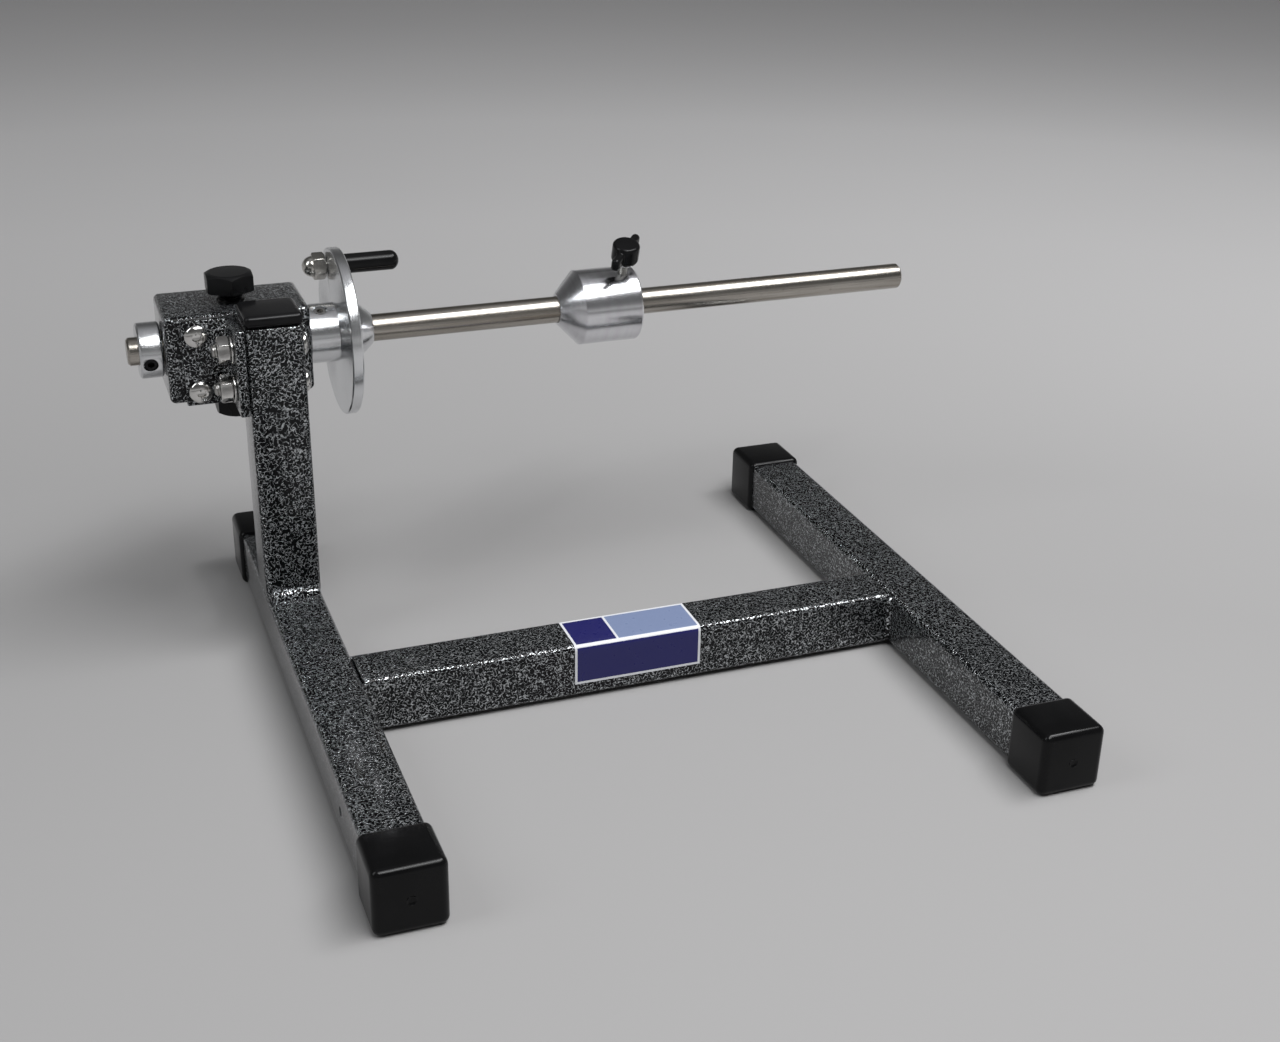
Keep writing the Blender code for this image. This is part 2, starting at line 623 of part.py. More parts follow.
bpy.context.view_layer.update()
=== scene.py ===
"""Looks of the bench spool holder stand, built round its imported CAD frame."""
import bpy
import bmesh
import math
import random
from mathutils import Matrix, Vector


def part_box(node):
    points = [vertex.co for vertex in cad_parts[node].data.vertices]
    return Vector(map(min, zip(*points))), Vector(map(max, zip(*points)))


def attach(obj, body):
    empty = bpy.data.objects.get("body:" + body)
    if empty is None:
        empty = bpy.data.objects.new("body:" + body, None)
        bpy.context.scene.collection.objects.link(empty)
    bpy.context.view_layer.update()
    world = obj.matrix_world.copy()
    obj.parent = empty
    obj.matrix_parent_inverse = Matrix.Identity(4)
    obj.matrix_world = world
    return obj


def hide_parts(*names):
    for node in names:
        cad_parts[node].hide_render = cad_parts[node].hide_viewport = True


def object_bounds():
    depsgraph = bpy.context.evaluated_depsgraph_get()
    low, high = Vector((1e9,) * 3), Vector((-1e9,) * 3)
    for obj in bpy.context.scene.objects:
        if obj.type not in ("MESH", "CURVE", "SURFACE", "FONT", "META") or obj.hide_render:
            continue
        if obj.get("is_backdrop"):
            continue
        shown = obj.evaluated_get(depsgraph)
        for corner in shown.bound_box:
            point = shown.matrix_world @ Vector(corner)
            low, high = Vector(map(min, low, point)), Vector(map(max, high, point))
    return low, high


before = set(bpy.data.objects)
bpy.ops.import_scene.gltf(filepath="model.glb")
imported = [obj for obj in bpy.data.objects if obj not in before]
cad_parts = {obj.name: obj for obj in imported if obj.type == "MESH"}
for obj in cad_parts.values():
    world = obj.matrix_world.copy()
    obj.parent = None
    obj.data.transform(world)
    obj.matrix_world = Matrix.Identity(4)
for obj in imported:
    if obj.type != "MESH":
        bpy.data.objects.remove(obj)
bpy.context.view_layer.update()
MM = 0.001
random.seed(11)

# ------------------------------------------------------------------ places, all read from the CAD boxes (mm)


def bx(node):
    lo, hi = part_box(node)
    return Vector(lo) / MM, Vector(hi) / MM


def mid(node):
    lo, hi = bx(node)
    return (lo + hi) / 2


LR_LO, LR_HI = bx("left_rail")
TUBE = LR_HI.x - LR_LO.x
LEFT_X = (LR_LO.x + LR_HI.x) / 2
RIGHT_X = mid("right_rail").x
CROSS = mid("cross_member")
TUBE_Z = mid("left_rail").z
RAIL_TOP = LR_HI.z
POST_LO, POST_HI = bx("post")
POST_Y = (POST_LO.y + POST_HI.y) / 2
SH_LO, SH_HI = bx("spindle")
SY, SZ = mid("spindle").y, mid("spindle").z
SHAFT_R = (SH_HI.z - SH_LO.z) / 2
H_LO, H_HI = bx("brake_housing")
HOUSE_FRONT = H_LO.y
GAP = 0.3
SCREW_X = mid("housing_screw_upper").x
PIN_Y, PIN_Z = mid("drive_pin_sleeve").y, mid("drive_pin_sleeve").z
BRAKE_X = mid("upper_tension_bolt").x
FIT = 0.12


# ------------------------------------------------------------------ mesh helpers
def link(obj):
    bpy.context.scene.collection.objects.link(obj)
    return obj


def from_bm(name, bm, smooth=35):
    mesh = bpy.data.meshes.new(name)
    bmesh.ops.recalc_face_normals(bm, faces=bm.faces)
    bm.to_mesh(mesh)
    bm.free()
    obj = link(bpy.data.objects.new(name, mesh))
    if smooth:
        mesh.shade_smooth()
        mesh.set_sharp_from_angle(angle=math.radians(smooth))
    return obj


def bake(obj, smooth=35):
    bpy.context.view_layer.update()
    dg = bpy.context.evaluated_depsgraph_get()
    mesh = bpy.data.meshes.new_from_object(obj.evaluated_get(dg))
    obj.modifiers.clear()
    old = obj.data
    obj.data = mesh
    bpy.data.meshes.remove(old)
    if smooth:
        mesh.shade_smooth()
        mesh.set_sharp_from_angle(angle=math.radians(smooth))
    return obj


def cut(obj, tools, op="DIFFERENCE", smooth=35):
    for t in tools:
        m = obj.modifiers.new("b", "BOOLEAN")
        m.operation = op
        m.solver = "EXACT"
        m.object = t
    bake(obj, smooth)
    for t in tools:
        bpy.data.objects.remove(t, do_unlink=True)
    return obj


def bevel(obj, width, segs=3, angle=35, smooth=35):
    m = obj.modifiers.new("bev", "BEVEL")
    m.width = width * MM
    m.segments = segs
    m.limit_method = "ANGLE"
    m.angle_limit = math.radians(angle)
    m.harden_normals = False
    return bake(obj, smooth)


AX = {
    "Z": Matrix.Identity(3),
    "-Z": Matrix.Rotation(math.pi, 3, "X"),
    "X": Matrix.Rotation(math.pi / 2, 3, "Y"),
    "-X": Matrix.Rotation(-math.pi / 2, 3, "Y"),
    "Y": Matrix.Rotation(-math.pi / 2, 3, "X"),
    "-Y": Matrix.Rotation(math.pi / 2, 3, "X"),
}


def place(obj, center, axis="Z", spin=0.0):
    rot = AX[axis].copy() if isinstance(axis, str) else Vector(axis).to_track_quat("Z", "Y").to_matrix()
    rot = rot @ Matrix.Rotation(spin, 3, "Z")
    obj.matrix_world = Matrix.Translation(Vector(center) * MM) @ rot.to_4x4()
    return obj


def rounded(profile, radii, segs=4, closed=False):
    """Round the corners of a 2-D outline; radii is one number or one per point."""
    n = len(profile)
    if not isinstance(radii, (list, tuple)):
        radii = [radii] * n
    out = []
    for i, p in enumerate(profile):
        p = Vector((p[0], p[1]))
        r = radii[i]
        if r <= 0 or (not closed and i in (0, n - 1)):
            out.append(p)
            continue
        a, b = Vector(profile[i - 1][:2]), Vector(profile[(i + 1) % n][:2])
        da, db = (a - p), (b - p)
        la, lb = da.length, db.length
        da.normalize()
        db.normalize()
        ang = da.angle(db)
        if ang > math.radians(176):
            out.append(p)
            continue
        t = min(r / math.tan(ang / 2), la * 0.48, lb * 0.48)
        r = t * math.tan(ang / 2)
        c = p + (da + db).normalized() * (r / math.sin(ang / 2))
        s, e = p + da * t - c, p + db * t - c
        turn = s.angle_signed(e)
        for k in range(segs + 1):
            out.append(c + Matrix.Rotation(-turn * k / segs, 2) @ s)
    return out


def lathe(name, profile, center, axis="Z", segs=96, round_r=0.0, rsegs=3, smooth=35):
    """Turned piece from (radius, height) points. Ends on the axis are solid; otherwise it closes into a ring."""
    ring = profile[0][0] > 1e-9
    pts = rounded(profile, round_r, rsegs, ring)
    bm = bmesh.new()
    rows = []
    for p in pts:
        r, h = p[0] * MM, p[1] * MM
        if r < 1e-9:
            rows.append([bm.verts.new((0, 0, h))])
        else:
            rows.append([bm.verts.new((r * math.cos(2 * math.pi * k / segs), r * math.sin(2 * math.pi * k / segs), h))
                         for k in range(segs)])
    pairs = list(zip(rows, rows[1:])) + ([(rows[-1], rows[0])] if ring else [])
    for a, b in pairs:
        for k in range(segs):
            q = [a[k % len(a)], a[(k + 1) % segs % len(a)], b[(k + 1) % segs % len(b)], b[k % len(b)]]
            f = list(dict.fromkeys(q))
            if len(f) > 2:
                bm.faces.new(f)
    bmesh.ops.remove_doubles(bm, verts=bm.verts, dist=1e-8)
    return place(from_bm(name, bm, smooth), center, axis)


def rbox(name, size, center, r, segs=5, smooth=35):
    """Box with every edge rounded."""
    bm = bmesh.new()
    bmesh.ops.create_cube(bm, size=1.0)
    for v in bm.verts:
        v.co = Vector((v.co.x * size[0], v.co.y * size[1], v.co.z * size[2])) * MM
    if r > 0:
        bmesh.ops.bevel(bm, geom=list(bm.edges), offset=r * MM, segments=segs, profile=0.5, affect="EDGES")
    obj = from_bm(name, bm, smooth)
    obj.location = Vector(center) * MM
    bpy.context.view_layer.update()
    return obj


def prism(name, outline, h0, h1, center, axis="Z", spin=0.0, smooth=35):
    """Extrude a closed 2-D outline (mm) from h0 to h1."""
    bm = bmesh.new()
    lo = [bm.verts.new((p[0] * MM, p[1] * MM, h0 * MM)) for p in outline]
    hi = [bm.verts.new((p[0] * MM, p[1] * MM, h1 * MM)) for p in outline]
    n = len(outline)
    bm.faces.new(list(reversed(lo)))
    bm.faces.new(hi)
    for k in range(n):
        bm.faces.new((lo[k], lo[(k + 1) % n], hi[(k + 1) % n], hi[k]))
    return place(from_bm(name, bm, smooth), center, axis, spin)


def hexa(af):
    r = af / math.sqrt(3)
    return [(r * math.cos(math.radians(60 * k)), r * math.sin(math.radians(60 * k))) for k in range(6)]


def square_tube(name, length, center, axis, r=2.6, wall=2.1, segs=8):
    """Rolled square tube; open ends, with a small edge break."""
    t = TUBE / 2
    out = rounded([(-t, -t), (t, -t), (t, t), (-t, t)], r, segs, True)
    ti = t - wall
    inn = rounded([(-ti, -ti), (ti, -ti), (ti, ti), (-ti, ti)], max(r - wall, 0.3) + 0.5, segs, True)
    n = len(out)
    bm = bmesh.new()
    e = 0.35
    half = length / 2
    steps = [-half + e] + [-half + length * k / 24 for k in range(1, 24)] + [half - e]
    outer = []

    def ringv(pts, h, shrink=0.0):
        return [bm.verts.new((p[0] * (1 - shrink / t) * MM, p[1] * (1 - shrink / t) * MM, h * MM)) for p in pts]
    outer.append(ringv(out, -half, e))
    for h in steps:
        outer.append(ringv(out, h))
    outer.append(ringv(out, half, e))
    inner = [ringv(inn, -half), ringv(inn, half)]
    for a, b in zip(outer, outer[1:]):
        for k in range(n):
            bm.faces.new((a[k], a[(k + 1) % n], b[(k + 1) % n], b[k]))
    for k in range(n):
        j = (k + 1) % n
        bm.faces.new((inner[0][j], inner[0][k], inner[1][k], inner[1][j]))
        bm.faces.new((outer[0][j], outer[0][k], inner[0][k], inner[0][j]))
        bm.faces.new((outer[-1][k], outer[-1][j], inner[1][j], inner[1][k]))
    return place(from_bm(name, bm), center, axis)


def thread(name, R, depth, pitch, h0, h1, center, axis="Z", segs=48, lead=0.8, solid_to=None):
    """Threaded rod: a real helix on the surface, run out at both ends."""
    bm = bmesh.new()
    per = 8
    rows = max(4, int((h1 - h0) / pitch * per))
    grid = []
    for i in range(rows + 1):
        h = h0 + (h1 - h0) * i / rows
        end = min(1.0, (h - h0 + 0.02) / lead, (h1 - h + 0.02) / lead)
        row = []
        for k in range(segs):
            a = 2 * math.pi * k / segs
            ph = (h / pitch - a / (2 * math.pi)) % 1.0
            tri = 1 - abs(2 * ph - 1)
            tri = min(1.0, max(0.0, (tri - 0.08) / 0.8))
            r = R - depth * (1 - tri) - (1 - end) * depth
            row.append(bm.verts.new((r * math.cos(a) * MM, r * math.sin(a) * MM, h * MM)))
        grid.append(row)
    for a, b in zip(grid, grid[1:]):
        for k in range(segs):
            j = (k + 1) % segs
            bm.faces.new((a[k], a[j], b[j], b[k]))
    bm.faces.new(list(reversed(grid[0])))
    bm.faces.new(grid[-1])
    return place(from_bm(name, bm, 40), center, axis)


def join(name, objs):
    bpy.ops.object.select_all(action="DESELECT")
    for o in objs:
        o.select_set(True)
    bpy.context.view_layer.objects.active = objs[0]
    bpy.ops.object.join()
    o = bpy.context.view_layer.objects.active
    o.name = name
    return o


def weld_bead(name, pts, r=2.0, pitch=2.1, normal=None, sides=14, wobble=0.16, seed=1):
    """A stacked-ripple fillet weld laid along a line of points."""
    rnd = random.Random(seed)
    P = [Vector(p) for p in pts]
    seg = [(b - a).length for a, b in zip(P, P[1:])]
    total = sum(seg)

    def at(s):
        for a, b, l in zip(P, P[1:], seg):
            if s <= l:
                return a.lerp(b, s / l), (b - a).normalized()
            s -= l
        return P[-1].copy(), (P[-1] - P[-2]).normalized()
    bm = bmesh.new()
    n = int(total / pitch * 7)
    rings = []
    jit = [rnd.uniform(-1, 1) for _ in range(int(total / pitch) + 3)]
    for i in range(n + 1):
        s = total * i / n
        c, d = at(s)
        ph = s / pitch
        k = int(ph)
        f = ph - k
        bump = math.sqrt(max(0.0, 1 - (2 * f - 1) ** 2 * 0.8))
        rr = r * (0.86 + 0.14 * bump) * (1 + wobble * 0.5 * jit[k])
        ends = min(1.0, (s + 0.25) / 1.6, (total - s + 0.25) / 1.6)
        rr *= max(0.25, ends) ** 0.6
        up = Vector((0, 0, 1)) if abs(d.z) < 0.9 else Vector((0, 1, 0))
        u = d.cross(up).normalized()
        w = d.cross(u).normalized()
        ring = []
        for q in range(sides):
            a = 2 * math.pi * q / sides
            off = u * math.cos(a) + w * math.sin(a)
            ring.append(bm.verts.new((c + off * rr + d * (0.35 * bump * (1 if q % 2 else 0.8))) * MM))
        rings.append(ring)
    for a, b in zip(rings, rings[1:]):
        for q in range(sides):
            j = (q + 1) % sides
            bm.faces.new((a[q], a[j], b[j], b[q]))
    bm.faces.new(list(reversed(rings[0])))
    bm.faces.new(rings[-1])
    return from_bm(name, bm, 60)


# ------------------------------------------------------------------ material helpers
class Mat:
    def __init__(self, name):
        self.m = bpy.data.materials.new(name)
        self.m.use_nodes = True
        self.nt = self.m.node_tree
        self.b = self.nt.nodes["Principled BSDF"]

    def n(self, kind, **kw):
        node = self.nt.nodes.new("ShaderNode" + kind)
        for k, v in kw.items():
            if k in ("ins",):
                continue
            setattr(node, k, v)
        for k, v in (kw.get("ins") or {}).items():
            if hasattr(v, "links"):
                self.nt.links.new(v, node.inputs[k])
            else:
                node.inputs[k].default_value = v
        return node

    def math(self, op, a, b=None, c=None, clamp=False):
        ins = {0: a}
        if b is not None:
            ins[1] = b
        if c is not None:
            ins[2] = c
        return self.n("Math", operation=op, use_clamp=clamp, ins=ins).outputs[0]

    def coord(self):
        return self.n("TexCoord").outputs["Object"]

    def noise(self, vec, scale, detail=2.0, rough=0.5, dist=0.0, dims="3D", w=None):
        ins = {"Scale": scale, "Detail": detail, "Roughness": rough, "Distortion": dist}
        if dims != "1D":
            ins["Vector"] = vec
        if w is not None:
            ins["W"] = w
        return self.n("TexNoise", noise_dimensions=dims, ins=ins).outputs[0]

    def ramp(self, fac, stops):
        r = self.n("ValToRGB", ins={"Fac": fac})
        el = r.color_ramp.elements
        el[0].position, el[0].color = stops[0][0], (*stops[0][1], 1)
        el[1].position, el[1].color = stops[-1][0], (*stops[-1][1], 1)
        for p, c in stops[1:-1]:
            e = el.new(p)
            e.color = (*c, 1)
        return r.outputs[0]

    def mixrgb(self, fac, a, b, blend="MIX"):
        m = self.nt.nodes.new("ShaderNodeMix")
        m.data_type = "RGBA"
        m.blend_type = blend
        for sock, v in ((m.inputs[0], fac), (m.inputs[6], a), (m.inputs[7], b)):
            if hasattr(v, "links"):
                self.nt.links.new(v, sock)
            else:
                sock.default_value = (*v, 1) if isinstance(v, tuple) and len(v) == 3 else v
        return m.outputs[2]

    def bump(self, height, strength, distance, prev=None):
        ins = {"Height": height, "Strength": strength, "Distance": distance}
        if prev is not None:
            ins["Normal"] = prev
        return self.n("Bump", ins=ins).outputs[0]

    def set(self, **kw):
        for k, v in kw.items():
            sock = self.b.inputs[k.replace("_", " ")]
            if hasattr(v, "links"):
                self.nt.links.new(v, sock)
            else:
                sock.default_value = (*v, 1) if isinstance(v, tuple) and len(v) == 3 else v
        return self


def hammertone(name, offset=(0, 0, 0), scale=1.0, painted_highlight_lift=1.0):
    """Black and silver vein powder coat: fine metallic worms on gloss black."""
    m = Mat(name)
    v = m.n("VectorMath", operation="ADD", ins={0: m.coord(), 1: offset}).outputs[0]
    big = m.noise(v, 60 * scale, 2.0)
    warp = m.noise(v, 900 * scale, 1.0)
    vw = m.n("VectorMath", operation="MULTIPLY_ADD",
             ins={0: m.n("VectorMath", operation="SUBTRACT", ins={0: warp, 1: (0.5, 0.5, 0.5)}).outputs[0],
                  1: (0.0004, 0.0004, 0.0004), 2: v}).outputs[0]
    n1 = m.noise(vw, 640 * scale, 1.0, 0.45, 0.35)
    ridge = m.math("SUBTRACT", 1.0, m.math("MULTIPLY", m.math("ABSOLUTE", m.math("SUBTRACT", n1, 0.5)), 10.0))
    fine = m.noise(vw, 1600 * scale, 1.5)
    ridge = m.math("ADD", ridge, m.math("MULTIPLY", m.math("SUBTRACT", fine, 0.5), 1.1))
    ridge = m.math("ADD", ridge, m.math("MULTIPLY", m.math("SUBTRACT", big, 0.5), 0.2))
    vein = m.n("MapRange", interpolation_type="SMOOTHSTEP",
               ins={0: ridge, 1: 0.59, 2: 0.84, 3: 0.0, 4: 1.0}).outputs[0]
    glint = m.noise(v, 800 * scale, 2.0)
    # the lift factor brightens the silver veins: above 1 it makes a lighter copy of the same coat, a painted highlight
    silver = m.mixrgb(m.n("MapRange", ins={0: glint, 1: 0.35, 2: 0.70, 3: 0.0, 4: 1.0}).outputs[0],
                      (0.34 * painted_highlight_lift, 0.355 * painted_highlight_lift, 0.368 * painted_highlight_lift), (0.70 * painted_highlight_lift, 0.725 * painted_highlight_lift, 0.74 * painted_highlight_lift))
    col = m.mixrgb(vein, (0.0022, 0.0024, 0.0030), silver)
    rough = m.n("MapRange", ins={0: vein, 1: 0.0, 2: 1.0, 3: 0.22, 4: 0.27}).outputs[0]
    met = m.math("MULTIPLY", vein, 0.92)
    orange = m.noise(v, 260 * scale, 2.0)
    nrm = m.bump(vein, 0.6, 0.00018)
    nrm = m.bump(orange, 0.25, 0.00035, nrm)
    m.set(Base_Color=col, Roughness=rough, Metallic=met, Normal=nrm)
    m.b.inputs["Coat Weight"].default_value = 1.0
    m.b.inputs["Coat IOR"].default_value = 1.22
    m.b.inputs["Coat Roughness"].default_value = 0.10
    m.b.inputs["Specular IOR Level"].default_value = 0.1
    return m.m


def vinyl(name, gloss=0.34, base=0.0085, grain=0.16):
    m = Mat(name)
    v = m.coord()
    mott = m.noise(v, 55, 3.0)
    pores = m.noise(v, 1900, 2.0)
    rough = m.n("MapRange", ins={0: mott, 1: 0.3, 2: 0.7, 3: gloss - 0.05, 4: gloss + 0.08}).outputs[0]
    col = m.ramp(mott, [(0.3, (base, base, base * 1.06)), (0.75, (base * 1.7, base * 1.7, base * 1.8))])
    # a few pale rub marks where the cap has been handled
    rub = m.noise(v, 210, 5.0, 0.6)
    mark = m.n("MapRange", interpolation_type="SMOOTHSTEP", ins={0: rub, 1: 0.66, 2: 0.78, 3: 0.0, 4: 0.20}).outputs[0]
    col = m.mixrgb(mark, col, (0.02, 0.02, 0.021))
    nrm = m.bump(pores, grain, 0.00006)
    nrm = m.bump(mott, 0.12, 0.0008, nrm)
    m.set(Base_Color=col, Roughness=rough, Metallic=0.0, Normal=nrm)
    m.b.inputs["Specular IOR Level"].default_value = 0.17
    return m.m


def turned_metal(name, color, rough=0.24, pitch=0.00022, aniso=0.55, marks=0.35, tint=None, stain=0.0, polish=0.0):
    """Lathe-turned metal; rings follow the piece's own local Z axis on faces, cones and cylinders alike."""
    m = Mat(name)
    co = m.coord()
    sep = m.n("SeparateXYZ", ins={0: co})
    r = m.math("SQRT", m.math("ADD", m.math("POWER", sep.outputs[0], 2.0), m.math("POWER", sep.outputs[1], 2.0)))
    w = m.math("ADD", m.math("MULTIPLY", sep.outputs[2], 1.0 / pitch / 10), m.math("MULTIPLY", r, 1.0 / pitch / 10))
    rings = m.noise(None, 10.0, 3.0, 0.65, 0.0, "1D", w)
    broad = m.noise(None, 0.7, 2.0, 0.5, 0.0, "1D", w)
    blot = m.noise(co, 70, 4.0, 0.6)
    scr = m.noise(co, 420, 3.0, 0.6)
    c = m.mixrgb(m.n("MapRange", ins={0: rings, 1: 0.3, 2: 0.7, 3: 0.0, 4: marks}).outputs[0], color,
                 tuple(x * 0.62 for x in color))
    if tint is not None:
        c = m.mixrgb(m.n("MapRange", ins={0: broad, 1: 0.35, 2: 0.68, 3: 0.0, 4: 0.8}).outputs[0], c, tint)
    if stain:
        c = m.mixrgb(m.n("MapRange", interpolation_type="SMOOTHSTEP", ins={0: blot, 1: 0.5, 2: 0.72, 3: 0.0, 4: stain}).outputs[0],
                     c, tuple(x * 0.55 for x in color))
    rg = m.math("ADD", m.n("MapRange", ins={0: rings, 1: 0.2, 2: 0.8, 3: rough - 0.05, 4: rough + 0.07}).outputs[0],
                m.math("MULTIPLY", m.math("SUBTRACT", scr, 0.5), 0.10))
    nrm = m.bump(rings, 0.22 * (1 - polish), 0.00004)
    nrm = m.bump(broad, 0.15, 0.00008, nrm)
    tan = m.n("Tangent", direction_type="RADIAL", axis="Z").outputs[0]
    m.set(Base_Color=c, Roughness=rg, Metallic=1.0, Normal=nrm, Tangent=tan)
    m.b.inputs["Anisotropic"].default_value = aniso
    return m.m


def plain_metal(name, color, rough=0.2, wear=0.3, grain=260):
    m = Mat(name)
    co = m.coord()
    a = m.noise(co, grain, 4.0, 0.6)
    b = m.noise(co, 1700, 2.0)
    c = m.mixrgb(m.n("MapRange", ins={0: a, 1: 0.35, 2: 0.7, 3: 0.0, 4: wear}).outputs[0], color, tuple(x * 0.6 for x in color))
    rg = m.n("MapRange", ins={0: a, 1: 0.3, 2: 0.7, 3: rough - 0.05, 4: rough + 0.1}).outputs[0]
    m.set(Base_Color=c, Roughness=rg, Metallic=1.0, Normal=m.bump(b, 0.12, 0.00003))
    return m.m


def ground_steel(name):
    """Cold drawn and ground bar: long drawing streaks with fine rings over them."""
    m = Mat(name)
    co = m.coord()
    sep = m.n("SeparateXYZ", ins={0: co})
    stretch = m.n("VectorMath", operation="MULTIPLY", ins={0: co, 1: (1.0, 1.0, 0.03)}).outputs[0]
    streak = m.noise(stretch, 900, 4.0, 0.6)
    wstreak = m.noise(stretch, 260, 3.0, 0.55)
    ring = m.noise(None, 10.0, 3.0, 0.6, 0.0, "1D", m.math("MULTIPLY", sep.outputs[2], 420.0))
    spots = m.noise(co, 330, 5.0, 0.62)
    c = m.ramp(streak, [(0.3, (0.36, 0.335, 0.30)), (0.7, (0.54, 0.51, 0.465))])
    c = m.mixrgb(m.n("MapRange", ins={0: wstreak, 1: 0.48, 2: 0.70, 3: 0.0, 4: 0.75}).outputs[0], c, (0.21, 0.175, 0.135))
    c = m.mixrgb(m.n("MapRange", interpolation_type="SMOOTHSTEP", ins={0: spots, 1: 0.60, 2: 0.74, 3: 0.0, 4: 0.55}).outputs[0],
                 c, (0.16, 0.13, 0.105))
    rg = m.n("MapRange", ins={0: wstreak, 1: 0.3, 2: 0.7, 3: 0.16, 4: 0.30}).outputs[0]
    nrm = m.bump(streak, 0.30, 0.00004)
    nrm = m.bump(ring, 0.15, 0.00003, nrm)
    m.set(Base_Color=c, Roughness=rg, Metallic=1.0, Normal=nrm)
    m.b.inputs["Anisotropic"].default_value = 0.3
    return m.m


def sticker(name, color):
    m = Mat(name)
    co = m.coord()
    a = m.noise(co, 320, 4.0)
    c = m.mixrgb(m.n("MapRange", ins={0: a, 1: 0.35, 2: 0.75, 3: 0.0, 4: 0.10}).outputs[0], color, tuple(x * 0.75 for x in color))
    m.set(Base_Color=c, Roughness=m.n("MapRange", ins={0: a, 1: 0.3, 2: 0.7, 3: 0.26, 4: 0.40}).outputs[0],
          Normal=m.bump(m.noise(co, 150, 2.0), 0.1, 0.0002))
    return m.m


M_FRAME = hammertone("hammertone_frame")
M_POST = hammertone("hammertone_post", (0.31, 0.12, 0.07))
M_HEAD = hammertone("hammertone_head", (0.07, 0.41, 0.23))
# the weld beads wear the same coat lifted 1.3x brighter: painted highlight for the light the beads catch
M_WELD = hammertone("hammertone_weld", (0.5, 0.2, 0.9), 0.85, 1.3)
M_VINYL = vinyl("vinyl_caps", 0.15, 0.0036, 0.06)
M_PLUG = vinyl("moulded_plug", 0.17, 0.005, 0.06)
M_NYLON = vinyl("black_nylon", 0.30, 0.0050, 0.20)
M_KNOB = vinyl("knob_plastic", 0.20, 0.0045, 0.10)
M_ALU = turned_metal("turned_aluminium", (0.80, 0.81, 0.825), 0.20, marks=0.30, stain=0.2)
M_ALU_DISK = turned_metal("faced_aluminium", (0.84, 0.85, 0.865), 0.19, 0.0003, 0.3, 0.22, stain=0.15)
M_CONE = turned_metal("cone_aluminium", (0.86, 0.87, 0.89), 0.17, 0.0002, 0.35, 0.18, (0.78, 0.76, 0.80))
M_STEEL = ground_steel("ground_steel")
M_STAIN = plain_metal("stainless_fastener", (0.74, 0.73, 0.71), 0.10)
M_STAINW = plain_metal("stainless_warm", (0.68, 0.66, 0.62), 0.15)
M_ZINC = plain_metal("steel_thread", (0.55, 0.54, 0.52), 0.28)
M_BLACK = plain_metal("black_oxide", (0.030, 0.030, 0.032), 0.38)
M_BRONZE = turned_metal("bearing_bronze", (0.55, 0.36, 0.17), 0.36)


def dress(obj, mat, body, slot, *nodes):
    obj.data.materials.clear()
    obj.data.materials.append(mat)
    if nodes:
        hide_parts(*nodes)
    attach(obj, body)
    return obj


# ------------------------------------------------------------------ welded frame
def rail(node, x):
    lo, hi = bx(node)
    return square_tube(node + "_tube", hi.y - lo.y, (x, (lo.y + hi.y) / 2, TUBE_Z), "Y")


lr = rail("left_rail", LEFT_X)
vent = lathe("vent_tool", [(0, 6), (2.0, 6), (2.0, -6), (0, -6)], (LR_LO.x, CROSS.y - 85.4, TUBE_Z), "X", 40)
cut(lr, [vent])
dress(lr, M_FRAME, "frame", "hammertone", "left_rail")
dress(rail("right_rail", RIGHT_X), M_FRAME, "frame", "hammertone", "right_rail")
C_LO, C_HI = bx("cross_member")
dress(square_tube("cross_member_tube", C_HI.x - C_LO.x, CROSS, "X"), M_FRAME, "frame", "hammertone", "cross_member")
pt = square_tube("post_tube", POST_HI.z - POST_LO.z, ((LEFT_X, POST_Y, (POST_LO.z + POST_HI.z) / 2)), "Z")
dress(pt, M_POST, "frame", "hammertone", "post")

# weld beads: at the front and back of the post's foot and at both ends of the cross member
W = TUBE / 2 - 1.0
zf = RAIL_TOP + 0.1
for i, (a, b) in enumerate((((LEFT_X - W, POST_LO.y - 0.2, zf), (LEFT_X + W, POST_LO.y - 0.2, zf)),
                            ((LEFT_X + W, POST_HI.y + 0.2, zf), (LEFT_X - W, POST_HI.y + 0.2, zf)))):
    dress(weld_bead("post_weld_%d" % i, [a, b], 4.0, 3.2, seed=3 + i), M_WELD, "frame", "hammertone")
for side, x in (("left", C_LO.x), ("right", C_HI.x)):
    s = -1 if side == "left" else 1
    xx = x + s * 0.1
    f, k = C_LO.y, C_HI.y
    b, t = C_LO.z, C_HI.z
    dress(weld_bead("cross_weld_%s_front" % side, [(xx, f + 0.4, b + 1.5), (xx, f + 0.4, t - 1.8)], 2.1, 2.3, seed=11),
          M_WELD, "frame", "hammertone")
    dress(weld_bead("cross_weld_%s_rear" % side, [(xx, k - 0.4, b + 1.5), (xx, k - 0.4, t - 1.8)], 2.1, 2.3, seed=12),
          M_WELD, "frame", "hammertone")

